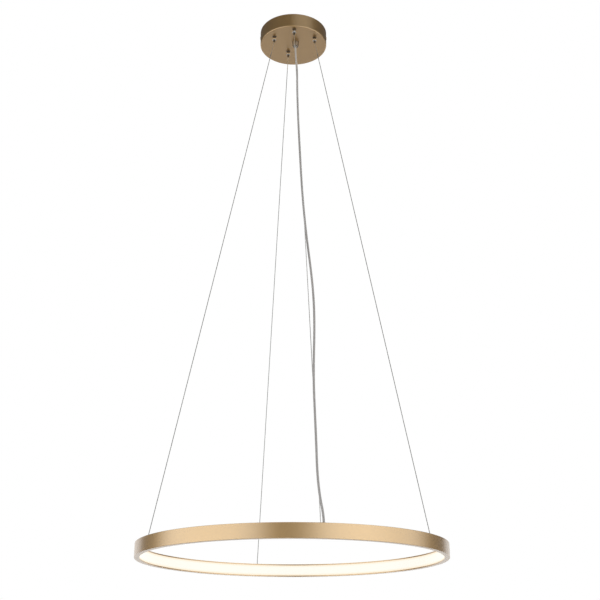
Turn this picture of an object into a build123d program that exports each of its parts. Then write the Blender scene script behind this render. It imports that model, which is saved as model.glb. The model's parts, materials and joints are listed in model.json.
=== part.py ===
from build123d import *
import os
from math import cos, degrees, pi, radians, sin, sqrt, tan

# LED ring pendant: a gold hoop with a glowing inner band, hung on four thin steel wires
# and one grey supply cable from a round ceiling canopy.
# Millimetres, +Z up. The origin is on the canopy's axis at the ceiling, so the light is
# all below z = 0. -Y faces the viewer of the photograph and +X is on the viewer's right.

os.makedirs("parts", exist_ok=True)

# ---- driving dimensions: overall ----
canopy_radius = 76.5
canopy_height = 33.0
hang_length = 1141.0            # from the canopy's underside to the ring's top
ring_radius = 300.0
ring_height = 26.0
ring_depth = 10.0               # radial depth of the hoop's section

# ---- canopy cup ----
canopy_wall = 1.2
canopy_edge_radius = 1.8
side_screw_drop = 12.0          # from the ceiling to the side screws
side_screw_clearance = 0.15
m4_shank_radius = 1.95
m4_thread_radius = 2.0
m4_head_radius = 3.6
m4_head_height = 2.2
m4_head_taper = 12.0            # degrees
side_head_height = 0.7
side_screw_length = 7.5
recess_width = 0.8

# ---- ceiling bracket ----
bracket_thickness = 2.0
bar_width = 18.0
tab_gap = 1.7                   # from the cup's wall to the outer face of a bent tab
tab_length = 20.0
bend_radius = 3.0
slot_spacing = 64.0
slot_length = 12.0
slot_width = 5.0
wing_margin = 1.0               # of the wing that carries the driver, round it
wing_corner = 6.0
neck_width = 40.0
thread_end_gap = 0.3            # from a screw's end to the bracket's upper face

# ---- driver ----
driver_gap = 5.1                # from the cup's wall to the driver's far corners
driver_length = 76.0
driver_width = 24.0
driver_height = 20.0
driver_corner = 3.0
driver_wall = 1.5
driver_lid_thickness = 1.6
driver_ear_length = 8.0
driver_ear_width = 9.0
driver_ear_corner = 2.0
driver_screw_inset = 4.0
driver_edge_chamfer = 0.8
board_thickness = 1.6
board_standoff = 2.0
standoff_radius = 2.0
board_margin = 1.0
transformer_length = 17.0
transformer_width = 15.0
transformer_height = 10.5
choke_length = 8.0
choke_width = 10.0
capacitor_radius = 4.5
capacitor_height = 11.5
chip_package_length = 5.0
chip_package_width = 4.0
chip_package_height = 6.0
board_end_inset = 7.5           # from the board's end to the parts that stand near it
board_part_shift = 3.0          # of parts off the board's middle line
board_part_spacing = 15.0       # from the board's middle to the parts beside the transformer
m3_shank_radius = 1.45
m3_clearance_radius = 1.7
m3_thread_radius = 1.5
m3_head_radius = 2.7
m3_head_height = 1.8
m3_head_taper = 10.0            # degrees

# ---- terminals ----
terminal_x = -10.0
terminal_depth = 16.0
terminal_height = 14.0
terminal_pitch = 7.0
terminal_entry_radius = 1.7
terminal_lead_drop = 7.0        # from the bracket to the entry holes
terminal_screw_inset = 4.5
earth_x = 20.0
earth_washer_radius = 4.2
earth_washer_thickness = 0.9
terminal_corner = 1.2
terminal_web = 1.0              # by which neighbouring cells run into each other
terminal_notch = 1.5            # depth of the notch between two cells
terminal_floor = 1.0            # from the block's underside to its clamp screws
lead_radius = 0.9
lead_driver_drop = 10.0         # from the ceiling to the mains leads at the driver
live_inset = 12.0               # from the driver's end to the live lead
lead_spacing = 16.0
lead_straight = 7.0
lead_sag = 2.2
cable_driver_drop = 13.0        # from the ceiling to the cable at the driver
cable_driver_inset = 18.0       # from the driver's other end to the cable

# ---- wires, cable and where they hang ----
wire_radius = 0.75
cable_radius = 2.1
left_gripper_inset = 19.7       # from the cup's outer face to the gripper's axis
near_gripper_inset = 11.5
right_gripper_inset = 17.3
far_gripper_inset = 51.9
left_gripper_angle = 220.0
near_gripper_angle = 271.6
right_gripper_angle = 325.0
far_gripper_angle = 119.2
cord_grip_inset = 61.2
cord_grip_angle = 288.7
left_anchor_angle = 209.1
near_anchor_angle = 279.2
right_anchor_angle = 326.0
far_anchor_angle = 105.0
anchor_inset = 5.0              # from the ring's outer face to a wire
cable_angle = 280.2
cable_inset = 4.5

# ---- wire gripper with its sprung release knob ----
stub_radius = 4.0
stub_length = 14.0              # above the canopy's underside
gripper_flange_radius = 4.75
gripper_flange_height = 1.2
housing_chamfer = 0.3
neck_radius = 2.9
neck_length = 7.0               # below the canopy's underside
stem_radius = 1.5
stem_clearance = 0.08
barrel_radius = 3.0
cone_bottom = 1.0               # below the canopy's underside
cone_length = 5.0
wire_bore_radius = 0.9
ball_radius = 0.8
ball_clearance = 0.025          # to the wire and to the cone
window_clearance = 0.08
ball_count = 3
head_radius = 2.6
head_height = 1.4
head_drop = 4.0                 # head's lower face above the canopy's underside
cap_height = 1.2
plug_height = 1.4
plug_clearance = 0.05
release_travel = 2.0
knob_radius = 4.25
knob_top = 6.0                  # below the canopy's underside
knob_ring_height = 4.0
knob_chamfer = 0.5
knurl_count = 24
knurl_radius = 0.32
knurl_depth = 0.22
knob_sleeve_clearance = 0.25
knob_floor_clearance = 0.3
tip_radius = 2.5
tip_end_radius = 2.1
tip_length = 5.0
mouth_radius = 1.6
mouth_depth = 3.0
stem_seat = 0.5                 # from the mouth's inner end to the stem
spring_wire_radius = 0.22
spring_turns = 4
spring_clearance = 0.15
hex_washer_radius = 6.0
hex_washer_thickness = 0.8
gripper_nut_flats = 11.0
nut_height = 3.0
nut_chamfer = 0.4
thread_clearance = 0.05

# ---- cord grip ----
cord_grip_radius = 8.0
cord_grip_end_radius = 6.5
cord_grip_drop = 12.0
cord_grip_collar = 2.5          # the straight part under the canopy
cord_grip_chamfer = 0.5
cord_grip_stub_radius = 5.0
cord_grip_stub_length = 8.0
cord_grip_nut_flats = 14.0
bush_wall = 1.0
bush_clearance = 0.1
bush_recess = 0.5
cord_clearance = 0.1
clamp_screw_drop = 5.0
clamp_screw_radius = 1.5
clamp_screw_inset = 0.2
round_washer_margin = 1.5

# ---- ring section ----
ring_wall = 1.6
flange_thickness = 1.8
lip_thickness = 2.2
lip_width = 0.6
groove_width = 2.0
groove_floor = 1.4              # flange left behind the groove
ring_edge_radius = 0.4
diffuser_clearance = 0.15
strip_width = 12.0
strip_thickness = 1.1
strip_backing = 0.2             # adhesive gap behind the strip
chip_count = 120
chip_length = 5.0
chip_height = 2.8
chip_thickness = 0.8
seam_angle = 60.0
seam_width = 0.2
joiner_arc = 12.0               # degrees of the hoop that a joiner plate spans
joiner_height = 4.2
joiner_thickness = 1.3
joiner_screw_angle = 4.0
joiner_screw_radius = 1.1
joiner_head_radius = 1.9
joiner_head_height = 0.9
stop_pin_radius = 1.0
stop_head_radius = 2.2
stop_head_height = 3.0
cable_plug_radius = 2.7
cable_collar_radius = 3.3
cable_collar_height = 0.6
plug_reach = 1.0                # below the hoop's upper flange
core_radius = 0.6
core_gap = 1.5
core_drop = 5.0
core_reach_angle = 2.4
core_end_angle = 1.2
seat_clearance = 0.05
corner_share = 0.45             # of a run that a rounded corner may take up
wire_end_gap = 0.2


def on_ring(radius, angle):
    return (radius * cos(radians(angle)), radius * sin(radians(angle)))


# ---- places and levels worked out from these ----
gripper_points = {
    "left": on_ring(canopy_radius - left_gripper_inset, left_gripper_angle),
    "near": on_ring(canopy_radius - near_gripper_inset, near_gripper_angle),
    "right": on_ring(canopy_radius - right_gripper_inset, right_gripper_angle),
    "far": on_ring(canopy_radius - far_gripper_inset, far_gripper_angle),
}
anchor_angles = {
    "left": left_anchor_angle, "near": near_anchor_angle,
    "right": right_anchor_angle, "far": far_anchor_angle,
}
cord_grip_point = on_ring(canopy_radius - cord_grip_inset, cord_grip_angle)
cord_x, cord_y = cord_grip_point
cup_inner_radius = canopy_radius - canopy_wall
bracket_reach = cup_inner_radius - tab_gap
driver_far_y = sqrt((cup_inner_radius - driver_gap)**2 - (driver_length / 2)**2)
driver_y = driver_far_y - driver_width / 2
driver_front = driver_y - driver_width / 2
driver_screw_x = driver_length / 2 + driver_screw_inset
driver_screw_points = [(-driver_screw_x, driver_y), (driver_screw_x, driver_y)]
canopy_bottom = -canopy_height
canopy_floor = canopy_bottom + canopy_wall
ring_top = canopy_bottom - hang_length
ring_bottom = ring_top - ring_height
bracket_under = -bracket_thickness
driver_lid_under = bracket_under - driver_lid_thickness
driver_bottom = bracket_under - driver_height
cord_grip_bottom = canopy_bottom - cord_grip_drop
collar_top = ring_top + cable_collar_height
ring_inner_radius = ring_radius - ring_depth
channel_radius = ring_radius - ring_wall
anchor_radius = ring_radius - anchor_inset
strip_outer = channel_radius - strip_backing
strip_inner = strip_outer - strip_thickness


def save(builder, name):
    builder.part.label = name
    export_step(builder.part, f"parts/{name}.step")


def upright(x, y, z):
    """A vertical plane through the point: its x is +X and its y is +Z."""
    return Plane(origin=(x, y, z), x_dir=(1, 0, 0), z_dir=(0, -1, 0))


def turned(x, y, z, outline):
    """A solid of revolution about the vertical line through (x, y); outline in (r, height)."""
    with BuildPart() as body:
        with BuildSketch(upright(x, y, z)):
            with BuildLine():
                Polyline(*outline, close=True)
            make_face()
        revolve(axis=Axis((x, y, z), (0, 0, 1)))
    return body


def corner_radii(points):
    """The radius at each inner point of a route, as large as its two runs allow."""
    radii = []
    for before, here, after in zip(points, points[1:], points[2:]):
        run_in = Vector(*here) - Vector(*before)
        run_out = Vector(*after) - Vector(*here)
        half_turn = radians(run_in.get_angle(run_out)) / 2
        radii.append(corner_share * min(run_in.length, run_out.length) / tan(half_turn))
    return radii


def tube(points, radius):
    """A round tube along straight runs joined by tangent arcs."""
    first = Vector(*points[0])
    direction = Vector(*points[1]) - first
    with BuildPart() as body:
        with BuildLine():
            path = FilletPolyline(*points, radius=corner_radii(points))
        with BuildSketch(Plane(origin=first, z_dir=direction)):
            Circle(radius)
        sweep(path=path)
    expected = pi * radius**2 * path.length
    print(f"tube length {path.length:.1f} volume ratio {body.part.volume / expected:.4f} "
          f"radii {[round(r) for r in corner_radii(points)]}")
    return body


def hex_nut(x, y, z, flats, hole_radius):
    with BuildPart() as nut:
        with BuildSketch(Plane.XY.offset(z)):
            with Locations((x, y)):
                RegularPolygon(flats / 2, 6, major_radius=False)
                Circle(hole_radius, mode=Mode.SUBTRACT)
        extrude(amount=nut_height)
        chamfer(nut.faces().sort_by(Axis.Z)[-1].outer_wire().edges(), nut_chamfer)
    return nut


# ======== ceiling bracket ========

with BuildPart() as ceiling_bracket:
    with BuildSketch(Plane.XZ):
        with BuildLine():
            outer = FilletPolyline(
                (-bracket_reach, -tab_length), (-bracket_reach, 0),
                (bracket_reach, 0), (bracket_reach, -tab_length),
                radius=bend_radius,
            )
            inner_reach = bracket_reach - bracket_thickness
            inner = FilletPolyline(
                (inner_reach, -tab_length), (inner_reach, bracket_under),
                (-inner_reach, bracket_under), (-inner_reach, -tab_length),
                radius=bend_radius - bracket_thickness,
            )
            Line(outer @ 1, inner @ 0)
            Line(inner @ 1, outer @ 0)
        make_face()
    extrude(amount=bar_width / 2, both=True)
    with BuildSketch(Plane.XY.offset(bracket_under)):
        with Locations((0, driver_y)):
            RectangleRounded(
                driver_length + 2 * (driver_ear_length + wing_margin),
                driver_width + 2 * wing_margin, wing_corner,
            )
        with Locations((0, driver_y / 2)):
            Rectangle(neck_width, driver_y)
    extrude(amount=bracket_thickness)
    with BuildSketch(Plane.XY.offset(bracket_under)):
        with GridLocations(slot_spacing, 0, 2, 1):
            SlotOverall(slot_length, slot_width)
        with Locations((earth_x, 0)):
            Circle(m4_thread_radius)
        with Locations((terminal_x, 0)):
            Circle(m3_thread_radius)
        with Locations(*driver_screw_points):
            Circle(m3_thread_radius)
    extrude(amount=bracket_thickness, mode=Mode.SUBTRACT)
    with BuildSketch(Plane.YZ):
        with Locations((0, -side_screw_drop)):
            Circle(m4_thread_radius)
    extrude(amount=bracket_reach, both=True, mode=Mode.SUBTRACT)
save(ceiling_bracket, "ceiling_bracket")

# ======== canopy cup ========

with BuildPart() as canopy_cup:
    with BuildSketch(Plane.XZ):
        with BuildLine():
            outer = FilletPolyline(
                (0, canopy_bottom), (canopy_radius, canopy_bottom), (canopy_radius, 0),
                radius=canopy_edge_radius,
            )
            inner = FilletPolyline(
                (canopy_radius - canopy_wall, 0), (canopy_radius - canopy_wall, canopy_floor),
                (0, canopy_floor),
                radius=canopy_edge_radius - canopy_wall,
            )
            Line(outer @ 1, inner @ 0)
            Line(inner @ 1, outer @ 0)
        make_face()
    revolve(axis=Axis.Z)
    with BuildSketch(Plane.XY.offset(canopy_bottom)):
        with Locations(*gripper_points.values()):
            Circle(stub_radius + thread_clearance)
        with Locations(cord_grip_point):
            Circle(cord_grip_stub_radius + thread_clearance)
    extrude(amount=canopy_wall, mode=Mode.SUBTRACT)
    with BuildSketch(Plane.YZ):
        with Locations((0, -side_screw_drop)):
            Circle(m4_shank_radius + side_screw_clearance)
    extrude(amount=canopy_radius, both=True, mode=Mode.SUBTRACT)
save(canopy_cup, "canopy_cup")

with BuildPart() as canopy_screws:
    for side in (-1, 1):
        seat = Plane(
            origin=(side * canopy_radius, 0, -side_screw_drop),
            x_dir=(0, 1, 0), z_dir=(side, 0, 0),
        )
        with BuildSketch(seat):
            Circle(m4_head_radius)
        extrude(amount=side_head_height, taper=m4_head_taper)
        with BuildSketch(seat):
            Circle(m4_shank_radius)
        extrude(amount=-side_screw_length)
        with BuildSketch(seat.offset(side_head_height)):
            Rectangle(recess_width, m4_head_radius)
            Rectangle(m4_head_radius, recess_width)
        extrude(amount=-side_head_height / 2, mode=Mode.SUBTRACT)
save(canopy_screws, "canopy_screws")

# ======== driver ========

live_driver_x = live_inset - driver_length / 2
neutral_driver_x = live_driver_x + lead_spacing
driver_lead_x = driver_length / 2 - cable_driver_inset
driver_lead_z = -cable_driver_drop
lead_z = -lead_driver_drop

with BuildPart() as driver_case_lid:
    with BuildSketch(Plane.XY.offset(driver_lid_under)):
        with Locations((0, driver_y)):
            RectangleRounded(driver_length, driver_width, driver_corner)
            RectangleRounded(
                driver_length + 2 * driver_ear_length, driver_ear_width, driver_ear_corner,
            )
        with Locations(*driver_screw_points):
            Circle(m3_clearance_radius, mode=Mode.SUBTRACT)
    extrude(amount=driver_lid_thickness)
save(driver_case_lid, "driver_case_lid")

with BuildPart() as driver_case_base:
    with BuildSketch(Plane.XY.offset(driver_bottom)):
        with Locations((0, driver_y)):
            RectangleRounded(driver_length, driver_width, driver_corner)
    extrude(amount=driver_lid_under - driver_bottom)
    with BuildSketch(Plane.XY.offset(driver_bottom + driver_wall)):
        with Locations((0, driver_y)):
            RectangleRounded(
                driver_length - 2 * driver_wall, driver_width - 2 * driver_wall,
                driver_corner - driver_wall,
            )
    extrude(amount=driver_height, mode=Mode.SUBTRACT)
    with BuildSketch(Plane.XY.offset(driver_bottom + driver_wall)):
        with Locations((0, driver_y)):
            with GridLocations(driver_length / 2, driver_width / 3, 2, 2):
                Circle(standoff_radius)
    extrude(amount=board_standoff)
    chamfer(driver_case_base.faces().sort_by(Axis.Z)[0].edges(), driver_edge_chamfer)
    with BuildSketch(Plane.XZ.offset(-driver_front)):
        with Locations((driver_lead_x, driver_lead_z)):
            Circle(cable_radius + cord_clearance)
        with Locations((live_driver_x, lead_z), (neutral_driver_x, lead_z)):
            Circle(lead_radius + cord_clearance)
    extrude(amount=-driver_wall, mode=Mode.SUBTRACT)
save(driver_case_base, "driver_case_base")

board_under = driver_bottom + driver_wall + board_standoff
board_top = board_under + board_thickness
board_length = driver_length - 2 * (driver_wall + board_margin)
board_end_x = board_length / 2 - board_end_inset
board_row_y = driver_y + board_part_shift

with BuildPart() as driver_board:
    with BuildSketch(Plane.XY.offset(board_under)):
        with Locations((0, driver_y)):
            Rectangle(board_length, driver_width - 2 * (driver_wall + board_margin))
    extrude(amount=board_thickness)
save(driver_board, "driver_board")

with BuildPart() as driver_components:
    with BuildSketch(Plane.XY.offset(board_top)):
        with Locations((0, driver_y)):
            Rectangle(transformer_length, transformer_width)
        with Locations((-board_end_x, board_row_y)):
            Rectangle(choke_length, choke_width)
    extrude(amount=transformer_height)
    with BuildSketch(Plane.XY.offset(board_top)):
        with Locations((-board_part_spacing, board_row_y), (board_end_x, board_row_y)):
            Circle(capacitor_radius)
    extrude(amount=capacitor_height)
    with BuildSketch(Plane.XY.offset(board_top)):
        with Locations(
            (board_part_spacing, board_row_y), (-board_end_x, driver_y - 2 * board_part_shift),
        ):
            Rectangle(chip_package_length, chip_package_width)
    extrude(amount=chip_package_height)
save(driver_components, "driver_components")

with BuildPart() as driver_screws:
    with BuildSketch(Plane.XY.offset(driver_lid_under)):
        with Locations(*driver_screw_points):
            Circle(m3_head_radius)
    extrude(amount=-m3_head_height, taper=m3_head_taper)
    with BuildSketch(Plane.XY.offset(driver_lid_under)):
        with Locations(*driver_screw_points):
            Circle(m3_shank_radius)
    extrude(amount=driver_lid_thickness + bracket_thickness - thread_end_gap)
    with BuildSketch(Plane.XY.offset(driver_lid_under - m3_head_height)):
        with Locations(*driver_screw_points):
            Rectangle(recess_width, m3_head_radius)
            Rectangle(m3_head_radius, recess_width)
    extrude(amount=m3_head_height / 2, mode=Mode.SUBTRACT)
save(driver_screws, "driver_screws")

# ======== mains terminals and leads ========

terminal_under = bracket_under - terminal_height
terminal_row = [(terminal_x + step * terminal_pitch, 0) for step in (-1, 0, 1)]
entry_z = bracket_under - terminal_lead_drop
terminal_screw_y = terminal_depth / 2 - terminal_screw_inset

with BuildPart() as terminal_block:
    with BuildSketch(Plane.XY.offset(terminal_under)):
        with Locations(*terminal_row):
            RectangleRounded(terminal_pitch + terminal_web, terminal_depth, terminal_corner)
        with Locations((terminal_x, 0)):
            Rectangle(2 * terminal_pitch, terminal_depth - 2 * terminal_notch)
    extrude(amount=terminal_height)
    with BuildSketch(Plane.XZ):
        with Locations(*[(x, entry_z) for x, y in terminal_row]):
            Circle(terminal_entry_radius)
    extrude(amount=terminal_depth, both=True, mode=Mode.SUBTRACT)
    with BuildSketch(Plane.XY.offset(terminal_under)):
        for x, y in terminal_row[::2]:
            with Locations((x, -terminal_screw_y), (x, terminal_screw_y)):
                Circle(m3_clearance_radius)
        with Locations((terminal_x, 0)):
            Circle(m3_clearance_radius)
    extrude(amount=terminal_height, mode=Mode.SUBTRACT)
save(terminal_block, "terminal_block")

terminal_screw_top = entry_z - lead_radius - seat_clearance
terminal_screw_under = terminal_under + terminal_floor
terminal_screw_places = [
    (x, y * terminal_screw_y) for x, _ in terminal_row[::2] for y in (-1, 1)
]
with BuildPart() as terminal_screws:
    with BuildSketch(Plane.XY.offset(terminal_screw_under)):
        with Locations(*terminal_screw_places):
            Circle(m3_clearance_radius - seat_clearance)
    extrude(amount=terminal_screw_top - terminal_screw_under)
    with BuildSketch(Plane.XY.offset(terminal_screw_under)):
        with Locations(*terminal_screw_places):
            Rectangle(2 * m3_shank_radius, recess_width)
    extrude(amount=terminal_floor, mode=Mode.SUBTRACT)
save(terminal_screws, "terminal_screws")

with BuildPart() as terminal_fixing_screw:
    with BuildSketch(Plane.XY.offset(terminal_under - m3_head_height)):
        with Locations((terminal_x, 0)):
            Circle(m3_head_radius)
    extrude(amount=m3_head_height)
    with BuildSketch(Plane.XY.offset(terminal_under)):
        with Locations((terminal_x, 0)):
            Circle(m3_shank_radius)
    extrude(amount=terminal_height + bracket_thickness - thread_end_gap)
    with BuildSketch(Plane.XY.offset(terminal_under - m3_head_height)):
        with Locations((terminal_x, 0)):
            Rectangle(recess_width, m3_head_radius)
            Rectangle(m3_head_radius, recess_width)
    extrude(amount=m3_head_height / 2, mode=Mode.SUBTRACT)
save(terminal_fixing_screw, "terminal_fixing_screw")

with BuildPart() as earth_washer:
    with BuildSketch(Plane.XY.offset(bracket_under - earth_washer_thickness)):
        with Locations((earth_x, 0)):
            Circle(earth_washer_radius)
            Circle(m4_thread_radius + seat_clearance, mode=Mode.SUBTRACT)
    extrude(amount=earth_washer_thickness)
save(earth_washer, "earth_washer")

earth_head_top = bracket_under - earth_washer_thickness
with BuildPart() as earth_screw:
    with BuildSketch(Plane.XY.offset(earth_head_top)):
        with Locations((earth_x, 0)):
            Circle(m4_head_radius)
    extrude(amount=-m4_head_height, taper=m4_head_taper)
    with BuildSketch(Plane.XY.offset(earth_head_top)):
        with Locations((earth_x, 0)):
            Circle(m4_shank_radius)
    extrude(amount=earth_washer_thickness + bracket_thickness - thread_end_gap)
    with BuildSketch(Plane.XY.offset(earth_head_top - m4_head_height)):
        with Locations((earth_x, 0)):
            Rectangle(recess_width, m4_head_radius)
            Rectangle(m4_head_radius, recess_width)
    extrude(amount=m4_head_height / 2, mode=Mode.SUBTRACT)
save(earth_screw, "earth_screw")


def mains_lead(start_x, end_x):
    """A mains core from its terminal to the driver, dipping a little between them."""
    entry_y = terminal_depth / 2 - terminal_notch
    leave_y = entry_y + lead_straight
    arrive_y = driver_front - lead_straight
    points = [
        (start_x, entry_y, entry_z),
        (start_x, leave_y, entry_z),
        ((start_x + end_x) / 2, (leave_y + arrive_y) / 2, entry_z - lead_sag),
        (end_x, arrive_y, lead_z),
        (end_x, driver_front + driver_wall, lead_z),
    ]
    return tube(points, lead_radius)


lead_live = mains_lead(terminal_x - terminal_pitch, live_driver_x)
save(lead_live, "lead_live")
lead_neutral = mains_lead(terminal_x + terminal_pitch, neutral_driver_x)
save(lead_neutral, "lead_neutral")

# The cable's fixed stretch rises out of the cord grip, turns over and runs back level.
driver_lead = tube(
    [
        (cord_x, cord_y, cord_grip_bottom),
        (cord_x, cord_y, driver_lead_z - 2 * cable_radius),
        (cord_x + 1.5 * cable_radius, cord_y + 3 * cable_radius, driver_lead_z + cable_radius / 2),
        ((cord_x + 3 * driver_lead_x) / 4, (cord_y + driver_front) / 2, driver_lead_z + cable_radius / 2),
        (driver_lead_x, driver_front - 5 * cable_radius, driver_lead_z),
        (driver_lead_x, driver_front + driver_wall, driver_lead_z),
    ],
    cable_radius,
)
save(driver_lead, "driver_lead")

# ======== cord grip ========

bush_bore = cable_radius + cord_clearance
bush_radius = bush_bore + bush_wall
grip_bore = bush_radius + bush_clearance
stub_top = cord_grip_stub_length

with BuildPart() as cord_grip_body:
    with BuildSketch(upright(cord_x, cord_y, canopy_bottom)):
        with BuildLine():
            Polyline(
                (grip_bore, -cord_grip_drop),
                (cord_grip_end_radius - cord_grip_chamfer, -cord_grip_drop),
                (cord_grip_end_radius, -cord_grip_drop + cord_grip_chamfer),
                (cord_grip_radius, -cord_grip_collar),
                (cord_grip_radius, 0),
                (cord_grip_stub_radius, 0),
                (cord_grip_stub_radius, stub_top),
                (grip_bore, stub_top),
                close=True,
            )
        make_face()
    revolve(axis=Axis((cord_x, cord_y, 0), (0, 0, 1)))
    with BuildSketch(Plane.XZ.offset(-cord_y)):
        with Locations((cord_x, canopy_bottom - clamp_screw_drop)):
            Circle(clamp_screw_radius + thread_clearance)
    extrude(amount=-cord_grip_radius, mode=Mode.SUBTRACT)
save(cord_grip_body, "cord_grip_body")

cord_grip_bush = turned(
    cord_x, cord_y, canopy_bottom,
    [
        (bush_bore, -cord_grip_drop + bush_recess), (bush_radius, -cord_grip_drop + bush_recess),
        (bush_radius, stub_top - bush_recess), (bush_bore, stub_top - bush_recess),
    ],
)
save(cord_grip_bush, "cord_grip_bush")

with BuildPart() as cord_grip_screw:
    with BuildSketch(Plane.XZ.offset(-(cord_y + bush_radius + seat_clearance))):
        with Locations((cord_x, canopy_bottom - clamp_screw_drop)):
            Circle(clamp_screw_radius)
    extrude(amount=-(cord_grip_end_radius - bush_radius - clamp_screw_inset))
save(cord_grip_screw, "cord_grip_screw")

round_washer_radius = cord_grip_nut_flats / 2 + round_washer_margin
cord_grip_washer = turned(
    cord_x, cord_y, canopy_floor,
    [
        (cord_grip_stub_radius + thread_clearance, 0), (round_washer_radius, 0),
        (round_washer_radius, hex_washer_thickness),
        (cord_grip_stub_radius + thread_clearance, hex_washer_thickness),
    ],
)
save(cord_grip_washer, "cord_grip_washer")

cord_grip_locknut = hex_nut(
    cord_x, cord_y, canopy_floor + hex_washer_thickness,
    cord_grip_nut_flats, cord_grip_stub_radius + thread_clearance,
)
save(cord_grip_locknut, "cord_grip_locknut")

# ======== wire grippers ========

cone_top = cone_length - cone_bottom
stem_bore = stem_radius + stem_clearance
cone_slope = (barrel_radius - stem_bore) / cone_length
ball_circle = wire_radius + ball_radius + ball_clearance
ball_reach = ball_circle + (ball_radius + ball_clearance) * sqrt(1 + cone_slope**2)
ball_level = -cone_bottom + (ball_reach - stem_bore) / cone_slope
head_top = head_drop + head_height
plug_under = stub_length - plug_height
knob_floor = -neck_length - release_travel - knob_floor_clearance
tip_top = -knob_top - knob_ring_height
tip_bottom = tip_top - tip_length
stem_end = tip_bottom + mouth_depth + stem_seat


def gripper_housing(x, y):
    """Threaded stub, flange and neck, bored for the plunger, with the wedge cone inside."""
    with BuildPart() as housing:
        with BuildSketch(upright(x, y, canopy_bottom)):
            with BuildLine():
                Polyline(
                    (stem_bore, -neck_length),
                    (neck_radius - housing_chamfer, -neck_length),
                    (neck_radius, housing_chamfer - neck_length),
                    (neck_radius, -gripper_flange_height),
                    (gripper_flange_radius - housing_chamfer, -gripper_flange_height),
                    (gripper_flange_radius, housing_chamfer - gripper_flange_height),
                    (gripper_flange_radius, 0),
                    (stub_radius, 0),
                    (stub_radius, stub_length),
                    (barrel_radius, stub_length),
                    (barrel_radius, cone_top),
                    (stem_bore, -cone_bottom),
                    close=True,
                )
            make_face()
        revolve(axis=Axis((x, y, 0), (0, 0, 1)))
    return housing


def gripper_plunger(x, y):
    """Stem and head round the wire, with a window for each wedging ball."""
    plunger = turned(
        x, y, canopy_bottom,
        [
            (wire_bore_radius, stem_end), (stem_radius, stem_end),
            (stem_radius, head_drop), (head_radius, head_drop),
            (head_radius, head_top), (wire_bore_radius, head_top),
        ],
    )
    windows = [
        Pos(x, y, canopy_bottom + ball_level) * Rot(0, 0, angle) * Rot(0, 90, 0)
        * Cylinder(
            ball_radius + window_clearance, head_radius,
            align=(Align.CENTER, Align.CENTER, Align.MIN),
        )
        for angle in ball_angles
    ]
    with BuildPart() as windowed:
        add(plunger.part)
        add(windows, mode=Mode.SUBTRACT)
    return windowed


def gripper_balls(x, y):
    with BuildPart(Plane.XY.offset(canopy_bottom + ball_level)) as balls:
        with Locations((x, y)):
            with PolarLocations(ball_circle, ball_count):
                Sphere(ball_radius)
    return balls


def release_knob(x, y):
    """The knurled bright ring and the tip below it, which is pushed up to free the wire."""
    with BuildPart() as knob:
        with BuildSketch(upright(x, y, canopy_bottom)):
            with BuildLine():
                sleeve_radius = neck_radius + knob_sleeve_clearance
                Polyline(
                    (stem_radius + seat_clearance, knob_floor),
                    (sleeve_radius, knob_floor),
                    (sleeve_radius, -knob_top),
                    (knob_radius - knob_chamfer, -knob_top),
                    (knob_radius, -knob_top - knob_chamfer),
                    (knob_radius, tip_top + knob_chamfer),
                    (knob_radius - knob_chamfer, tip_top),
                    (tip_radius, tip_top),
                    (tip_end_radius, tip_bottom),
                    (mouth_radius, tip_bottom),
                    (wire_bore_radius, tip_bottom + mouth_depth),
                    (wire_bore_radius, stem_end - seat_clearance),
                    (stem_radius + seat_clearance, stem_end - seat_clearance),
                    close=True,
                )
            make_face()
        revolve(axis=Axis((x, y, 0), (0, 0, 1)))
        with BuildSketch(Plane.XY.offset(canopy_bottom + tip_top)):
            with Locations((x, y)):
                with PolarLocations(knob_radius + knurl_radius - knurl_depth, knurl_count):
                    Circle(knurl_radius)
        extrude(amount=knob_ring_height, mode=Mode.SUBTRACT)
    return knob


def gripper_spring(x, y):
    """The coil spring that holds the plunger down, between its head and the cap's plug."""
    coil_radius = barrel_radius - spring_wire_radius - spring_clearance
    start = head_top + spring_wire_radius + seat_clearance
    height = plug_under - head_top - 2 * (spring_wire_radius + seat_clearance)
    centre = (x, y, canopy_bottom + start)
    with BuildPart() as spring:
        with BuildLine():
            coil = Helix(pitch=height / spring_turns, height=height, radius=coil_radius, center=centre)
        with BuildSketch(Plane(origin=coil @ 0, z_dir=coil % 0)):
            RegularPolygon(spring_wire_radius, 6)
        sweep(path=coil, is_frenet=True)
    return spring


ball_angles = [360 / ball_count * step for step in range(ball_count)]
for place, (x, y) in gripper_points.items():
    save(gripper_housing(x, y), f"gripper_housing_{place}")
    save(gripper_plunger(x, y), f"gripper_plunger_{place}")
    save(gripper_balls(x, y), f"gripper_balls_{place}")
    save(gripper_spring(x, y), f"gripper_spring_{place}")
    save(release_knob(x, y), f"release_knob_{place}")

with BuildPart() as gripper_caps:
    with BuildSketch(Plane.XY.offset(canopy_bottom + plug_under)):
        with Locations(*gripper_points.values()):
            Circle(barrel_radius - plug_clearance)
    extrude(amount=plug_height)
    with BuildSketch(Plane.XY.offset(canopy_bottom + stub_length)):
        with Locations(*gripper_points.values()):
            Circle(stub_radius)
    extrude(amount=cap_height)
    with BuildSketch(Plane.XY.offset(canopy_bottom + plug_under)):
        with Locations(*gripper_points.values()):
            Circle(wire_bore_radius)
    extrude(amount=plug_height + cap_height, mode=Mode.SUBTRACT)
save(gripper_caps, "gripper_caps")

with BuildPart() as gripper_washers:
    with BuildSketch(Plane.XY.offset(canopy_floor)):
        with Locations(*gripper_points.values()):
            Circle(hex_washer_radius)
        with Locations(*gripper_points.values()):
            Circle(stub_radius + thread_clearance, mode=Mode.SUBTRACT)
    extrude(amount=hex_washer_thickness)
save(gripper_washers, "gripper_washers")

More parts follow.
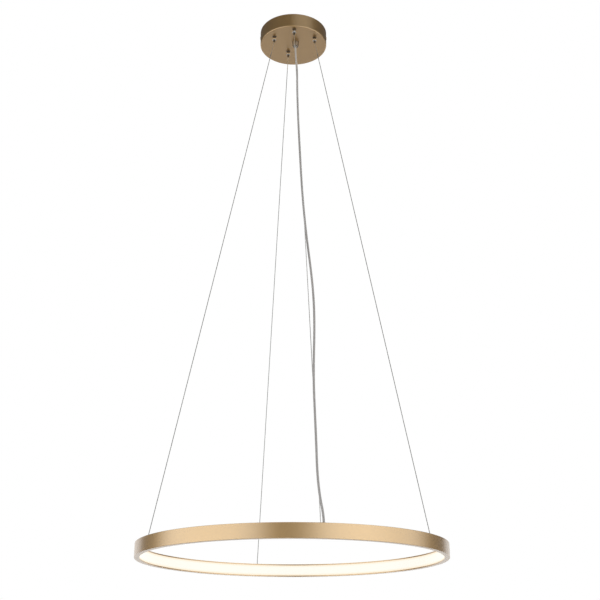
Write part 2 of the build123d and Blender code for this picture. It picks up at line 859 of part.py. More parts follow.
with BuildPart() as gripper_locknuts:
    for x, y in gripper_points.values():
        nut = hex_nut(
            x, y, canopy_floor + hex_washer_thickness,
            gripper_nut_flats, stub_radius + thread_clearance,
        )
        add(nut.part)
save(gripper_locknuts, "gripper_locknuts")

# ======== hoop ========


def ring_outline(ring_edge):
    """Section of the hoop, a channel open towards the axis, as (radius, height)."""
    lip_outer = ring_inner_radius + lip_width
    groove_outer = lip_outer + groove_width
    upper = [
        (ring_inner_radius, -lip_thickness), (lip_outer, -lip_thickness),
        (lip_outer, -groove_floor), (groove_outer, -groove_floor),
        (groove_outer, -flange_thickness), (channel_radius, -flange_thickness),
    ]
    lower = [(radius, -ring_height - height) for radius, height in reversed(upper)]
    rim = [
        (ring_radius - ring_edge, -ring_height), (ring_radius, -ring_height + ring_edge),
        (ring_radius, -ring_edge), (ring_radius - ring_edge, 0),
    ]
    return upper + lower + [(ring_inner_radius, -ring_height)] + rim + [(ring_inner_radius, 0)]


with BuildPart() as ring_profile:
    with BuildSketch(upright(0, 0, ring_top)):
        with BuildLine():
            Polyline(*ring_outline(ring_edge_radius), close=True)
        make_face()
    revolve(axis=Axis.Z)
    with BuildSketch(Plane.XY.offset(ring_top)):
        with Locations(*[on_ring(anchor_radius, angle) for angle in anchor_angles.values()]):
            Circle(stop_pin_radius + seat_clearance)
        with Locations(on_ring(ring_radius - cable_inset, cable_angle)):
            Circle(cable_plug_radius + seat_clearance)
    extrude(amount=-flange_thickness, mode=Mode.SUBTRACT)
    with BuildSketch(Plane.XY.offset(ring_bottom)):
        with Locations(Location((0, 0, 0), (0, 0, seam_angle))):
            with Locations((ring_radius - ring_depth / 2, 0)):
                Rectangle(2 * ring_depth, seam_width)
    extrude(amount=ring_height, mode=Mode.SUBTRACT)
save(ring_profile, "ring_profile")

joiner_outer = channel_radius - strip_backing
joiner_inner = joiner_outer - joiner_thickness
joiner_levels = [
    ring_top - flange_thickness - seat_clearance - joiner_height / 2,
    ring_bottom + flange_thickness + seat_clearance + joiner_height / 2,
]
joiner_screw_angles = [seam_angle - joiner_screw_angle, seam_angle + joiner_screw_angle]
half_joiner = joiner_arc / 2

with BuildPart() as joiner_plates:
    for level in joiner_levels:
        with BuildSketch(Plane.XY.offset(level)):
            with BuildLine():
                outer = CenterArc((0, 0), joiner_outer, seam_angle - half_joiner, joiner_arc)
                inner = CenterArc((0, 0), joiner_inner, seam_angle - half_joiner, joiner_arc)
                Line(outer @ 0, inner @ 0)
                Line(outer @ 1, inner @ 1)
            make_face()
        extrude(amount=joiner_height / 2, both=True)
        for angle in joiner_screw_angles:
            with BuildSketch(Plane(origin=(0, 0, level), z_dir=(*on_ring(1, angle), 0))):
                Circle(joiner_screw_radius + seat_clearance)
            extrude(amount=ring_radius, mode=Mode.SUBTRACT)
save(joiner_plates, "joiner_plates")

with BuildPart() as joiner_screws:
    for level in joiner_levels:
        for angle in joiner_screw_angles:
            seat = Plane(
                origin=(*on_ring(joiner_inner - seat_clearance, angle), level),
                z_dir=(*on_ring(1, angle), 0),
            )
            with BuildSketch(seat):
                Circle(joiner_head_radius)
            extrude(amount=-joiner_head_height)
            with BuildSketch(seat):
                Circle(joiner_screw_radius)
            extrude(amount=joiner_thickness + strip_backing)
save(joiner_screws, "joiner_screws")

strip_middle = ring_top - ring_height / 2
led_strip = turned(
    0, 0, strip_middle,
    [
        (strip_inner, -strip_width / 2), (strip_outer, -strip_width / 2),
        (strip_outer, strip_width / 2), (strip_inner, strip_width / 2),
    ],
)
save(led_strip, "led_strip")

chip_outer = strip_inner - seat_clearance
with BuildPart(Plane.XY.offset(strip_middle)) as led_chips:
    with PolarLocations(chip_outer - chip_thickness / 2, chip_count):
        Box(chip_thickness, chip_length, chip_height)
save(led_chips, "led_chips")

diffuser_inner = ring_inner_radius + lip_width + diffuser_clearance
diffuser_outer = ring_inner_radius + lip_width + groove_width - diffuser_clearance
diffuser_half = ring_height / 2 - groove_floor - diffuser_clearance
diffuser = turned(
    0, 0, strip_middle,
    [
        (diffuser_inner, -diffuser_half), (diffuser_outer, -diffuser_half),
        (diffuser_outer, diffuser_half), (diffuser_inner, diffuser_half),
    ],
)
save(diffuser, "diffuser")

with BuildPart() as wire_stops:
    anchors = [on_ring(anchor_radius, angle) for angle in anchor_angles.values()]
    with BuildSketch(Plane.XY.offset(ring_top)):
        with Locations(*anchors):
            Circle(stop_pin_radius)
    extrude(amount=-flange_thickness)
    with BuildSketch(Plane.XY.offset(ring_top - flange_thickness)):
        with Locations(*anchors):
            Circle(stop_head_radius)
    extrude(amount=-stop_head_height)
save(wire_stops, "wire_stops")

cable_x, cable_y = on_ring(ring_radius - cable_inset, cable_angle)
plug_length = flange_thickness + plug_reach
with BuildPart() as cable_plug:
    with BuildSketch(Plane.XY.offset(ring_top)):
        with Locations((cable_x, cable_y)):
            Circle(cable_plug_radius)
    extrude(amount=-plug_length)
    with BuildSketch(Plane.XY.offset(ring_top)):
        with Locations((cable_x, cable_y)):
            Circle(cable_collar_radius)
    extrude(amount=cable_collar_height)
save(cable_plug, "cable_plug")


def ring_core(radius, direction):
    """One core of the cable inside the hoop, from the plug along the channel to the strip."""
    end_radius = strip_inner - core_radius - seat_clearance
    near_angle = cable_angle + direction * degrees(core_gap / 2 / radius)
    far_angle = cable_angle + direction * core_reach_angle
    top = ring_top - plug_length
    return tube(
        [
            (*on_ring(radius, near_angle), top),
            (*on_ring(radius, near_angle), top - core_drop),
            (*on_ring(radius, far_angle), strip_middle),
            (*on_ring(end_radius, far_angle + direction * core_end_angle), strip_middle),
        ],
        core_radius,
    )


with BuildPart() as ring_leads:
    for direction in (-1, 1):
        core = ring_core((strip_inner + diffuser_outer) / 2, direction)
        add(core.part)
save(ring_leads, "ring_leads")

# ======== wires and cable ========

for place, (x, y) in gripper_points.items():
    top = Vector(x, y, canopy_bottom + tip_bottom + mouth_depth)
    foot = Vector(*on_ring(anchor_radius, anchor_angles[place]), ring_top + wire_end_gap)
    with BuildPart() as wire:
        with BuildSketch(Plane(origin=top, z_dir=foot - top)):
            Circle(wire_radius)
        extrude(amount=(foot - top).length)
    save(wire, f"suspension_wire_{place}")

# The cable drops out of its grip, leans over to the near wire, runs down behind it, swings
# out to its right, crosses in front of it and comes back right to enter the ring.
cable_route = [
    (cord_x, cord_y, cord_grip_bottom),
    (cord_x, cord_y, -64.0),
    (8.6, -31.0, -118.0),
    (8.6, -60.0, -180.0),
    (9.4, -86.0, -238.0),
    (10.8, -108.5, -298.0),
    (12.9, -122.2, -358.0),
    (15.4, -134.6, -418.0),
    (18.1, -146.8, -478.0),
    (21.9, -158.9, -538.0),
    (26.5, -170.8, -594.0),
    (32.0, -183.6, -649.0),
    (37.2, -197.2, -704.0),
    (40.1, -210.8, -759.0),
    (40.2, -223.4, -814.0),
    (38.4, -235.4, -869.0),
    (37.8, -246.9, -925.0),
    (39.5, -257.8, -980.0),
    (41.2, -268.4, -1035.0),
    (42.2, -278.2, -1084.0),
    (45.6, -286.0, -1126.0),
    (cable_x, cable_y, -1162.0),
    (cable_x, cable_y, collar_top),
]
power_cable = tube(cable_route, cable_radius)
save(power_cable, "power_cable")
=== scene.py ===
"""LED ring pendant: satin gold hoop and canopy, lit opal band, four steel wires, grey cable."""

import json
from math import cos, pi, radians, sin

import bpy
from mathutils import Matrix, Vector


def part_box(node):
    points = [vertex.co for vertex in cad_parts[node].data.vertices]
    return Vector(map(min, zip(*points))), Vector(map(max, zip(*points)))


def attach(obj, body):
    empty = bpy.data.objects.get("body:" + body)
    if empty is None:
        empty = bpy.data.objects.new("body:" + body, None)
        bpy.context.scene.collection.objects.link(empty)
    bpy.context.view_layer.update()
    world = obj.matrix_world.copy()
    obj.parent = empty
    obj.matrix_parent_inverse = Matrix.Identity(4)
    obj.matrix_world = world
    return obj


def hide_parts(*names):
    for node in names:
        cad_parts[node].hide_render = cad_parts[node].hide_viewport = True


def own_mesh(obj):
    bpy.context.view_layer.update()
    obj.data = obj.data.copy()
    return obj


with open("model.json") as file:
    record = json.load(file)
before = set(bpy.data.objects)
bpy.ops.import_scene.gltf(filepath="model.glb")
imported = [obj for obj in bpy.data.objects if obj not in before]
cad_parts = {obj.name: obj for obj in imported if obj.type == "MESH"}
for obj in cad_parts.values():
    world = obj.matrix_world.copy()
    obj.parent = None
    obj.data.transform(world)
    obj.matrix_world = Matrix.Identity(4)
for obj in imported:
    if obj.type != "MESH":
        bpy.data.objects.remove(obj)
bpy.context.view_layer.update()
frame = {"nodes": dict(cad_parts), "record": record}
nodes = frame["nodes"]
scene = bpy.context.scene

# ======== camera ========

image_size = 600                # pixels, both ways
focal_pixels = 1024.82
sensor = 36.0
camera_place = (0.0, -2.0114, -1.4403)
tilt, pan, roll = radians(21.0658), radians(0.4327), radians(0.0174)

forward = Vector((sin(pan) * cos(tilt), cos(pan) * cos(tilt), sin(tilt)))
right = Vector((cos(pan), -sin(pan), 0.0))
up = right.cross(forward)
right, up = cos(roll) * right - sin(roll) * up, sin(roll) * right + cos(roll) * up

camera_data = bpy.data.cameras.new("camera")
camera_data.sensor_fit = "HORIZONTAL"
camera_data.sensor_width = sensor
camera_data.lens = focal_pixels * sensor / image_size
camera_data.clip_start, camera_data.clip_end = 0.05, 400.0
camera = bpy.data.objects.new("camera", camera_data)
turn = Matrix((right, up, -forward)).transposed().to_4x4()
camera.matrix_world = Matrix.Translation(camera_place) @ turn
scene.collection.objects.link(camera)
scene.camera = camera


# ======== node helpers ========

class Nodes:
    """A short way to write the nodes of a material or of the world."""

    def __init__(self, block, output="ShaderNodeOutputMaterial"):
        block.use_nodes = True
        self.block = block
        self.tree = block.node_tree
        self.tree.nodes.clear()
        self.output = self.tree.nodes.new(output)

    def add(self, kind, inputs=(), **settings):
        node = self.tree.nodes.new(kind)
        for key, value in settings.items():
            setattr(node, key, value)
        for key, value in dict(inputs).items():
            if isinstance(value, bpy.types.NodeSocket):
                self.tree.links.new(value, node.inputs[key])
            else:
                node.inputs[key].default_value = value
        return node

    def finish(self, shader):
        self.tree.links.new(shader.outputs[0], self.output.inputs["Surface"])
        return self.block

    def surface(self, inputs):
        return self.finish(self.add("ShaderNodeBsdfPrincipled", inputs))

    def math(self, operation, a, b=0.0):
        return self.add("ShaderNodeMath", {0: a, 1: b}, operation=operation).outputs[0]

    def place(self):
        return self.add("ShaderNodeTexCoord").outputs["Object"]

    def xyz(self):
        return self.add("ShaderNodeSeparateXYZ", {0: self.place()}).outputs

    def from_axis(self, x, y):
        """Distance from the light's vertical axis."""
        squares = self.math("ADD", self.math("MULTIPLY", x, x), self.math("MULTIPLY", y, y))
        return self.math("SQRT", squares)

    def round_the_axis(self, along, across):
        """Coordinates that run round the vertical axis, to stretch a grain along the hoop."""
        x, y, z = self.xyz()
        joined = self.add("ShaderNodeCombineXYZ", {
            0: self.math("MULTIPLY", self.math("ARCTAN2", y, x), along),
            1: self.math("MULTIPLY", self.from_axis(x, y), across),
            2: self.math("MULTIPLY", z, across),
        })
        return joined.outputs[0]

    def noise(self, vector, scale, detail):
        node = self.add("ShaderNodeTexNoise", {
            "Vector": vector, "Scale": scale, "Detail": detail, "Roughness": 0.55,
        })
        return node.outputs["Fac"]

    def between(self, factor, low, high):
        """Spreads the middle of a noise over low to high."""
        node = self.add("ShaderNodeMapRange", {
            "Value": factor, "From Min": 0.3, "From Max": 0.7, "To Min": low, "To Max": high,
        })
        return node.outputs["Result"]

    def fade(self, value, start, end, low=0.0, high=1.0):
        """Goes softly from low to high as the value goes from start to end."""
        node = self.add("ShaderNodeMapRange", {
            "Value": value, "From Min": start, "From Max": end, "To Min": low, "To Max": high,
        }, interpolation_type="SMOOTHSTEP")
        return node.outputs["Result"]

    def colours(self, factor, first, second, low=0.35, high=0.65):
        node = self.add("ShaderNodeValToRGB", {"Fac": factor})
        ramp = node.color_ramp
        ramp.elements[0].position, ramp.elements[0].color = low, (*first, 1.0)
        ramp.elements[1].position, ramp.elements[1].color = high, (*second, 1.0)
        return node.outputs["Color"]

    def mix(self, factor, first, second):
        inputs = {0: factor, 6: first, 7: second}
        return self.add("ShaderNodeMix", inputs, data_type="RGBA").outputs[2]

    def bump(self, height, strength, distance):
        inputs = {"Height": height, "Strength": strength, "Distance": distance}
        return self.add("ShaderNodeBump", inputs).outputs["Normal"]


def new_material(name):
    return Nodes(bpy.data.materials.new(name))


# ======== finishes ========

knob_tip_top = -0.043           # where the release knob's ring ends and its tip begins
tip_blend = 0.0002              # half the height over which the chrome turns dark there
band_half_height = 0.0115       # of the opal band


def satin_gold(name, first, second):
    """Champagne gold with a fine grain along the hoop, under a thin clear lacquer."""
    n = new_material(name)
    grain = n.noise(n.round_the_axis(60.0, 2600.0), 1.0, 3.0)
    cloud = n.noise(n.place(), 9.0, 3.0)
    return n.surface({
        "Base Color": n.colours(cloud, first, second),
        "Metallic": 1.0,
        "Roughness": n.between(grain, 0.38, 0.46),
        "Coat Weight": 1.0, "Coat Roughness": 0.24, "Coat IOR": 2.2,
        "Normal": n.bump(grain, 0.10, 0.00004),
    })


def bare_metal(name, first, second, low, high, scale, strength=0.08):
    """A metal whose colour and gloss drift a little from place to place."""
    n = new_material(name)
    grain = n.noise(n.place(), scale, 5.0)
    patch = n.noise(n.place(), scale / 12, 3.0)
    return n.surface({
        "Base Color": n.colours(patch, first, second),
        "Metallic": 1.0,
        "Roughness": n.between(grain, low, high),
        "Normal": n.bump(grain, strength, 0.00005),
    })


def zinc():
    """Zinc plate with its crystals."""
    n = new_material("zinc_plate")
    cells = n.add("ShaderNodeTexVoronoi", {"Vector": n.place(), "Scale": 130.0})
    tone = n.add("ShaderNodeSeparateColor", {0: cells.outputs["Color"]}).outputs[0]
    grain = n.noise(n.place(), 900.0, 3.0)
    return n.surface({
        "Base Color": n.colours(tone, (0.50, 0.52, 0.54), (0.64, 0.66, 0.67), 0.1, 0.9),
        "Metallic": 1.0,
        "Roughness": n.between(tone, 0.30, 0.42),
        "Normal": n.bump(grain, 0.06, 0.00004),
    })


def painted_canopy_light(n, start, end):
    """Goes from 0 to 1 on the way up to the canopy: the mask of the painted light and painted
    reflection of its gold on the cords.
    """
    return n.fade(n.xyz()[2], start, end)


def wire_rope(name, first, second):
    """Fine stainless strands, with a painted reflection of the gold canopy close under it."""
    n = new_material(name)
    patch = n.noise(n.place(), 160.0, 4.0)
    steel = n.colours(patch, first, second)
    # Painted reflection: a warm gold tone that stands in for the canopy mirrored in the steel.
    painted_gold_reflection = n.colours(patch, (0.54, 0.44, 0.31), (0.62, 0.51, 0.37))
    return n.surface({
        "Base Color": n.mix(painted_canopy_light(n, -0.084, -0.072), steel, painted_gold_reflection),
        "Metallic": 0.5,
        "Roughness": n.between(patch, 0.30, 0.42),
    })


def plastic(name, first, second, low, high):
    """Moulded plastic with a fine spark-eroded texture."""
    n = new_material(name)
    texture = n.noise(n.place(), 700.0, 3.0)
    drift = n.noise(n.place(), 700.0 / 30, 2.0)
    return n.surface({
        "Base Color": n.colours(drift, first, second),
        "Roughness": n.between(texture, low, high),
        "Normal": n.bump(texture, 0.10, 0.00006),
    })


def jacket():
    """Grey PVC of the supply cable, paler and warmer close under the canopy with painted light
    and a painted reflection of its gold.
    """
    n = new_material("cable_jacket")
    marks = n.noise(n.place(), 240.0, 3.0)
    drift = n.noise(n.place(), 14.0, 2.0)
    grey = n.colours(drift, (0.415, 0.399, 0.390), (0.462, 0.445, 0.434))
    # Painted light: a paler, warmer tone that the cable takes on near the canopy.
    light = n.colours(drift, (0.66, 0.60, 0.53), (0.72, 0.66, 0.58))
    return n.surface({
        "Base Color": n.mix(painted_canopy_light(n, -0.120, -0.095), grey, light),
        "Roughness": n.between(marks, 0.36, 0.46),
        "Subsurface Weight": 0.15, "Subsurface Scale": 1.0,
        "Subsurface Radius": (0.002, 0.0018, 0.0015),
        "Coat Weight": 0.25, "Coat Roughness": 0.25,
        "Sheen Weight": 0.35, "Sheen Roughness": 0.30,
        "Normal": n.bump(marks, 0.08, 0.00008),
    })


def knob_chrome():
    """Bright chrome on the release ring, and below it a tip darkened with painted shade and a
    painted reflection of the gold.
    """
    n = new_material("release_chrome")
    grain = n.noise(n.place(), 700.0, 4.0)
    tip = n.fade(n.xyz()[2], knob_tip_top + tip_blend, knob_tip_top - tip_blend)
    bright = n.colours(grain, (0.78, 0.78, 0.77), (0.86, 0.86, 0.85))
    # Painted shade: the tip's dark brownish tone stands in for dark surroundings mirrored in the
    # chrome.
    dark = n.colours(grain, (0.17, 0.140, 0.105), (0.22, 0.185, 0.14))
    return n.surface({
        "Base Color": n.mix(tip, bright, dark),
        "Metallic": 1.0,
        "Roughness": n.between(grain, 0.06, 0.14),
        "Normal": n.bump(grain, 0.03, 0.00005),
    })


def opal():
    """Lit opal band: near white in the middle of its height, warmer towards the lips."""
    n = new_material("opal_band")
    low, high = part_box("diffuser")
    height = n.math("ABSOLUTE", n.math("SUBTRACT", n.xyz()[2], (low.z + high.z) / 2))
    edge = n.math("DIVIDE", height, band_half_height)
    grain = n.noise(n.place(), 420.0, 3.0)
    return n.surface({
        "Base Color": n.colours(grain, (0.29, 0.27, 0.22), (0.31, 0.29, 0.24)),
        "Roughness": n.between(grain, 0.42, 0.52),
        "Emission Color": n.colours(edge, (1.0, 0.985, 0.915), (1.0, 0.80, 0.55), 0.55, 1.0),
        "Emission Strength": 0.78,
        "Normal": n.bump(grain, 0.06, 0.00005),
    })


def phosphor():
    """The lit yellow faces of the LED chips."""
    n = new_material("led_phosphor")
    grain = n.noise(n.place(), 1800.0, 3.0)
    return n.surface({
        "Base Color": n.colours(grain, (0.86, 0.66, 0.22), (0.92, 0.74, 0.30)),
        "Roughness": n.between(grain, 0.35, 0.5),
        "Emission Color": n.colours(grain, (1.0, 0.86, 0.62), (1.0, 0.90, 0.70)),
        "Emission Strength": 2.0,
    })


def circuit_board(name, first, second, track):
    """Solder mask with copper tracks showing through it."""
    n = new_material(name)
    tracks = n.add("ShaderNodeTexBrick", {
        "Vector": n.place(), "Scale": 120.0, "Mortar Size": 0.04, "Bias": 0.0,
        "Color1": (*first, 1.0), "Color2": (*second, 1.0), "Mortar": (*track, 1.0),
    })
    grain = n.noise(n.place(), 900.0, 2.0)
    return n.surface({
        "Base Color": tracks.outputs["Color"],
        "Roughness": n.between(grain, 0.28, 0.4),
        "Normal": n.bump(tracks.outputs["Fac"], 0.15, 0.00005),
    })


materials = {
    "gold_metal": satin_gold("satin_gold", (0.512, 0.296, 0.086), (0.540, 0.316, 0.097)),
    "zinc_steel": zinc(),
    "spring_steel": bare_metal(
        "spring_steel", (0.42, 0.42, 0.43), (0.52, 0.52, 0.53), 0.25, 0.35, 900.0,
    ),
    "wire_steel": wire_rope("wire_rope", (0.26, 0.255, 0.245), (0.34, 0.333, 0.32)),
    "chrome": bare_metal(
        "bright_chrome", (0.74, 0.74, 0.73), (0.80, 0.80, 0.79), 0.05, 0.12, 700.0, 0.03,
    ),
    "brass": bare_metal("brass", (0.62, 0.44, 0.17), (0.72, 0.53, 0.24), 0.24, 0.36, 500.0),
    "raw_aluminium": bare_metal(
        "raw_aluminium", (0.60, 0.60, 0.61), (0.72, 0.72, 0.73), 0.32, 0.46, 400.0,
    ),
    "grey_cable": jacket(),
    "clear_bush": plastic("bush_nylon", (0.60, 0.58, 0.52), (0.68, 0.66, 0.60), 0.30, 0.42),
    "opal_diffuser": opal(),
    "white_board": circuit_board(
        "strip_board", (0.84, 0.84, 0.81), (0.80, 0.80, 0.77), (0.62, 0.58, 0.46),
    ),
    "led_phosphor": phosphor(),
    "driver_plastic": plastic(
        "driver_plastic", (0.74, 0.74, 0.72), (0.80, 0.80, 0.78), 0.42, 0.55,
    ),
    "green_board": circuit_board(
        "driver_board_mask", (0.03, 0.16, 0.07), (0.025, 0.13, 0.06), (0.10, 0.27, 0.12),
    ),
    "dark_parts": plastic("dark_parts", (0.03, 0.03, 0.035), (0.06, 0.06, 0.065), 0.30, 0.45),
    "terminal_plastic": plastic(
        "terminal_plastic", (0.66, 0.65, 0.60), (0.72, 0.71, 0.66), 0.30, 0.42,
    ),
    "brown_core": plastic("brown_core", (0.13, 0.055, 0.025), (0.17, 0.075, 0.035), 0.35, 0.5),
    "blue_core": plastic("blue_core", (0.03, 0.10, 0.36), (0.04, 0.13, 0.43), 0.35, 0.5),
    "white_core": plastic("white_core", (0.68, 0.67, 0.64), (0.75, 0.74, 0.71), 0.35, 0.5),
}

# Some pieces have a darker or paler copy of their slot's material: painted shade and painted
# reflection on the cord grip and the grippers, painted light on the near wire.
# A much darker copy of the satin gold for the cord grip: painted shade.
painted_shade_gold = satin_gold("painted_shade_gold", (0.15, 0.098, 0.045), (0.19, 0.125, 0.057))
# A dark brownish copy of the chrome for the gripper housings: painted shade and a painted
# reflection of the gold canopy.
painted_reflection_neck = bare_metal(
    "painted_reflection_neck", (0.20, 0.165, 0.12), (0.26, 0.215, 0.16), 0.12, 0.22, 700.0, 0.04,
)
release_chrome = knob_chrome()
# A paler copy of the wire rope for the near wire: painted light, for the wire that catches more
# light.
lit_near_rope = wire_rope("painted_light_wire_rope", (0.66, 0.65, 0.63), (0.74, 0.73, 0.71))
special = {"cord_grip_body": painted_shade_gold}
for place in ("left", "near", "right", "far"):
    special[f"gripper_housing_{place}"] = painted_reflection_neck
    special[f"release_knob_{place}"] = release_chrome

for part in frame["record"]["subparts"]:
    mesh = nodes[part["node"]].data
    mesh.materials.clear()
    mesh.materials.append(special.get(part["node"], materials[part["material_slot"]]))


# ======== lines and sweeps ========

def around(radius, angle):
    return (radius * cos(radians(angle)), radius * sin(radians(angle)))


def round_section(radius, sides):
    return [(radius, 2 * pi * k / sides) for k in range(sides)]


def route_curve(name, points):
    """A smooth line with these control points."""
    data = bpy.data.curves.new(name, "CURVE")
    data.dimensions = "3D"
    data.resolution_u = 12
    spline = data.splines.new("NURBS")
    spline.points.add(len(points) - 1)
    for point, place in zip(spline.points, points):
        point.co = (*place, 1.0)
    spline.order_u = 3
    spline.use_endpoint_u = True
    return bpy.data.objects.new(name, data)


def read_line(curve):
    """The points that Blender gives for a curve's line."""
    line = bpy.data.meshes.new_from_object(curve)
    points = [v.co.copy() for v in line.vertices]
    bpy.data.meshes.remove(line)
    bpy.data.objects.remove(curve)
    return points


def sweep(name, line, section, turn_per_metre=0.0):
    """A mesh of a closed section carried along a line without twist, or with a steady one."""
    directions = []
    for i in range(len(line)):
        ahead, behind = line[min(i + 1, len(line) - 1)], line[max(i - 1, 0)]
        directions.append((ahead - behind).normalized())
    side = Vector((1.0, 0.0, 0.0)).cross(directions[0]).normalized()
    vertices, travelled = [], 0.0
    for i, (centre, along) in enumerate(zip(line, directions)):
        if i:
            travelled += (centre - line[i - 1]).length
        side = (side - side.dot(along) * along).normalized()
        other = along.cross(side)
        twist = 2 * pi * turn_per_metre * travelled
        for radius, angle in section:
            a = angle + twist
            vertices.append(centre + radius * (cos(a) * side + sin(a) * other))
    count, rings = len(section), len(line)
    faces = [
        (i * count + k, i * count + (k + 1) % count,
         (i + 1) * count + (k + 1) % count, (i + 1) * count + k)
        for i in range(rings - 1) for k in range(count)
    ]
    faces.append(tuple(reversed(range(count))))
    faces.append(tuple(range((rings - 1) * count, rings * count)))
    mesh = bpy.data.meshes.new(name)
    mesh.from_pydata(vertices, [], faces)
    mesh.update()
    for polygon in mesh.polygons:
        polygon.use_smooth = len(polygon.vertices) == 4
    made = bpy.data.objects.new(name, mesh)
    scene.collection.objects.link(made)
    return made


# ======== supply cable and suspension wires, where the solids have them ========

canopy_radius, ring_radius = 0.0765, 0.300
ring_top = -1.174
grip_end = -0.045               # where the wires and the cable leave their grips
cable_radius, cable_sides = 0.0021, 28
cord_grip_inset, cord_grip_angle = 0.0612, 288.7        # from the cup's outer face
cable_inset, cable_angle = 0.0045, 280.2                # from the hoop's outer face
cable_collar_height, wire_end_gap = 0.0006, 0.0002      # over the hoop's top

cable_start = around(canopy_radius - cord_grip_inset, cord_grip_angle)
cable_end = around(ring_radius - cable_inset, cable_angle)
cable_route = [
    (*cable_start, grip_end),
    (*cable_start, -0.064),
    (0.0086, -0.0310, -0.118),
    (0.0086, -0.0600, -0.180),
    (0.0094, -0.0860, -0.238),
    (0.0108, -0.1085, -0.298),
    (0.0129, -0.1222, -0.358),
    (0.0154, -0.1346, -0.418),
    (0.0181, -0.1468, -0.478),
    (0.0219, -0.1589, -0.538),
    (0.0265, -0.1708, -0.594),
    (0.0320, -0.1836, -0.649),
    (0.0372, -0.1972, -0.704),
    (0.0401, -0.2108, -0.759),
    (0.0402, -0.2234, -0.814),
    (0.0384, -0.2354, -0.869),
    (0.0378, -0.2469, -0.925),
    (0.0395, -0.2578, -0.980),
    (0.0412, -0.2684, -1.035),
    (0.0422, -0.2782, -1.084),
    (0.0456, -0.2860, -1.126),
    (*cable_end, -1.162),
    (*cable_end, ring_top + cable_collar_height),
]


def gather(piece):
    """Gives the piece a mesh of its own."""
    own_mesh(piece)


cable_line = read_line(route_curve("cable_route", cable_route))
cable = sweep("power_cable_jacket", cable_line, round_section(cable_radius, cable_sides))
cable.data.materials.append(materials["grey_cable"])
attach(cable, "canopy")
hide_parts("power_cable")
gather(cable)

grippers = {                    # inset from the cup's outer face, and angle
    "left": (0.0197, 220.0), "near": (0.0115, 271.6),
    "right": (0.0173, 325.0), "far": (0.0519, 119.2),
}
anchors = {"left": 209.1, "near": 279.2, "right": 326.0, "far": 105.0}  # angles on the hoop
anchor_inset = 0.005            # from the hoop's outer face to a wire
wire_radius, groove_radius = 0.00075, 0.00064           # over the strands, and between them
strands, strand_turns = 6, 110.0                        # turns in a metre of wire
wire_steps = 900

rope_section = [
    (wire_radius if k % 3 else groove_radius, 2 * pi * k / (3 * strands))
    for k in range(3 * strands)
]
for place, (inset, angle) in grippers.items():
    top = Vector((*around(canopy_radius - inset, angle), grip_end))
    anchor = around(ring_radius - anchor_inset, anchors[place])
    foot = Vector((*anchor, ring_top + wire_end_gap))
    line = [top.lerp(foot, i / wire_steps) for i in range(wire_steps + 1)]
    wire = sweep(f"steel_wire_{place}", line, rope_section, turn_per_metre=strand_turns)
    wire.data.materials.append(lit_near_rope if place == "near" else materials["wire_steel"])
    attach(wire, "canopy")
    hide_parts(f"suspension_wire_{place}")
    gather(wire)


# ======== springs of the grippers ====================================================

spring_wire, spring_sides = 0.00022, 10
spring_turns, closed_turns, points_per_turn = 5.5, 0.75, 28


def spring_line(x, y, radius, bottom, top):
    """A coil's middle line, with its end turns closed."""
    line = []
    for i in range(int(spring_turns * points_per_turn) + 1):
        turned = i / points_per_turn
        rise = min(max((turned - closed_turns) / (spring_turns - 2 * closed_turns), 0.0), 1.0)
        angle = 2 * pi * turned
        level = bottom + rise * (top - bottom)
        line.append(Vector((x + radius * cos(angle), y + radius * sin(angle), level)))
    return line


for place in grippers:
    low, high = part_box(f"gripper_spring_{place}")
    x, y = (low.x + high.x) / 2, (low.y + high.y) / 2
    coil_radius = (high.x - low.x) / 2 - spring_wire
    line = spring_line(x, y, coil_radius, low.z + spring_wire, high.z - spring_wire)
    spring = sweep(f"coil_spring_{place}", line, round_section(spring_wire, spring_sides))
    spring.data.materials.append(materials["spring_steel"])
    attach(spring, f"release_{place}")
    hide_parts(f"gripper_spring_{place}")
    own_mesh(spring)


# ======== room and light ========

floor_level, floor_size = -2.4, 300.0
aim = Vector((0, 0, -0.9))      # what the softboxes point at
softbox_distance, softbox_width = 3.0, 2.4
lamp_colour = (1.0, 0.985, 0.96)
surround_radius, surround_steps = 3.8, 90
window_from, window_to = 48.0, 136.0                    # degrees, of the window behind the light
window_top = 0.7
surround_levels = (-2.39, -1.2, 0.0, window_top, 1.8, 3.2, 5.4)
panels = [                      # azimuth, half width, softness, fades out between, strength
    (-150.0, 39.0, 14.0, -0.3, 0.9, 1.60),
    (-31.0, 41.0, 14.0, -0.3, 0.9, 1.26),
    (-56.0, 28.0, 18.0, 2.2, 4.2, 0.42),
]


def set_up(made, centre, direction):
    """Puts an object of the studio at a place, with its own Z along this direction."""
    turned = direction.to_track_quat("Z", "Y").to_matrix().to_4x4()
    made.matrix_world = Matrix.Translation(centre) @ turned
    scene.collection.objects.link(made)


def floor_paper():
    """Pale paper that runs out to white in the distance and keeps the light's shadow."""
    n = new_material("pale_floor")
    x, y, z = n.xyz()
    distance = n.from_axis(x, y)
    grain = n.noise(n.place(), 30.0, 4.0)
    paper = n.add("ShaderNodeBsdfPrincipled", {
        "Base Color": n.colours(grain, (0.55, 0.55, 0.545), (0.58, 0.58, 0.575)),
        "Roughness": 0.9, "Normal": n.bump(grain, 0.05, 0.001),
    })
    path = n.add("ShaderNodeLightPath").outputs
    looked_at = n.math("MULTIPLY", path["Is Camera Ray"], n.fade(distance, 2.0, 9.0, 0.42, 0.80))
    mirrored = n.math(
        "MULTIPLY", n.math("MAXIMUM", path["Is Glossy Ray"], path["Is Transmission Ray"]),
        n.fade(distance, 5.0, 9.0, 0.11, 1.0),
    )
    glow = n.add("ShaderNodeEmission", {"Strength": n.math("MAXIMUM", looked_at, mirrored)})
    return n.finish(n.add("ShaderNodeAddShader", {0: paper.outputs[0], 1: glow.outputs[0]}))


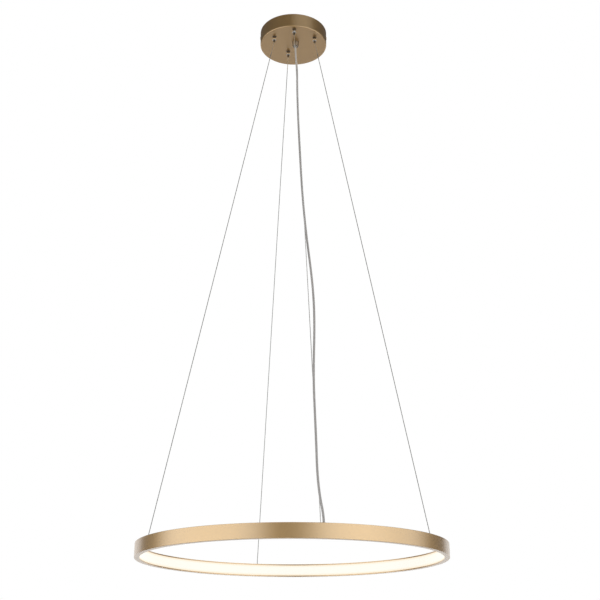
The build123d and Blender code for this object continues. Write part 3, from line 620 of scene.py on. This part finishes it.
def floor():
    half = floor_size / 2
    corners = [(-half, -half, 0), (half, -half, 0), (half, half, 0), (-half, half, 0)]
    mesh = bpy.data.meshes.new("floor")
    mesh.from_pydata(corners, [], [(0, 1, 2, 3)])
    mesh.materials.append(floor_paper())
    made = bpy.data.objects.new("floor", mesh)
    set_up(made, (0, 0, floor_level), Vector((0, 0, 1)))


def surround_glow():
    """The room that polished metal sees: dim walls with three wide, soft bright panels."""
    n = new_material("surround")
    x, y, z = n.xyz()
    grain = n.noise(n.place(), 1.5, 2.0)
    walls = n.add("ShaderNodeEmission", {
        "Color": n.colours(grain, (1.0, 0.93, 0.86), (1.0, 0.95, 0.90)),
        "Strength": n.fade(z, -0.6, 1.6, 0.20, 0.115),
    })
    total = 0.0
    for azimuth, half_width, softness, fade_from, fade_to, strength in panels:
        east, north = around(1.0 / surround_radius, azimuth)
        facing = n.math("ADD", n.math("MULTIPLY", x, east), n.math("MULTIPLY", y, north))
        outer, inner = half_width + softness, half_width - softness
        across = n.fade(facing, cos(radians(outer)), cos(radians(inner)))
        along = n.fade(z, fade_from, fade_to, 1.0, 0.0)
        panel = n.math("MULTIPLY", n.math("MULTIPLY", across, along), strength)
        total = n.math("ADD", total, panel)
    cool = n.add("ShaderNodeEmission", {
        "Color": n.colours(grain, (0.925, 1.0, 1.05), (0.945, 1.0, 1.03)), "Strength": total,
    })
    return n.finish(n.add("ShaderNodeAddShader", {0: walls.outputs[0], 1: cool.outputs[0]}))


def surround():
    """A wall round the light that only glossy surfaces see, with a window in its lower part."""
    vertices, faces = [], []
    rows = len(surround_levels)
    for i in range(surround_steps):
        angle = 2 * pi * i / surround_steps
        for z in surround_levels:
            vertices.append((surround_radius * cos(angle), surround_radius * sin(angle), z))
    for i in range(surround_steps):
        middle = 360.0 * (i + 0.5) / surround_steps
        for k in range(rows - 1):
            if window_from < middle < window_to and surround_levels[k] < window_top:
                continue
            a, b = i * rows + k, (i + 1) % surround_steps * rows + k
            faces.append((a, a + 1, b + 1, b))
    mesh = bpy.data.meshes.new("surround")
    mesh.from_pydata(vertices, [], faces)
    mesh.materials.append(surround_glow())
    made = bpy.data.objects.new("surround", mesh)
    scene.collection.objects.link(made)
    made.visible_camera = False
    made.visible_diffuse = False
    made.visible_transmission = False
    made.visible_shadow = False


def softbox(name, azimuth, elevation, height, power):
    """A lamp that lights the floor and the cords, and that metal doesn't mirror."""
    data = bpy.data.lights.new(name, "AREA")
    data.shape = "RECTANGLE"
    data.size, data.size_y = softbox_width, height
    data.energy = power
    data.color = lamp_colour
    made = bpy.data.objects.new(name, data)
    a, e = radians(azimuth), radians(elevation)
    direction = Vector((cos(a) * cos(e), sin(a) * cos(e), sin(e)))
    centre = aim + softbox_distance * direction
    set_up(made, centre, centre - aim)
    made.visible_camera = False
    made.visible_glossy = False


def studio():
    """A world that is white where it is seen or mirrored, and lights at half of that."""
    n = Nodes(bpy.data.worlds.new("studio"), "ShaderNodeOutputWorld")
    path = n.add("ShaderNodeLightPath").outputs
    seen = n.math("MAXIMUM", path["Is Camera Ray"], path["Is Glossy Ray"])
    seen = n.math("MAXIMUM", seen, path["Is Transmission Ray"])
    strength = n.add("ShaderNodeMapRange", {"Value": seen, "To Min": 0.5, "To Max": 1.0})
    background = n.add("ShaderNodeBackground", {
        "Color": (1.0, 1.0, 1.0, 1.0), "Strength": strength.outputs["Result"],
    })
    return n.finish(background)


floor()
surround()
softbox("softbox_left", -155.0, 5.0, 1.8, 26.0)
softbox("softbox_right", -30.0, 11.0, 2.4, 34.0)
scene.world = studio()
scene.view_settings.view_transform = "Standard"
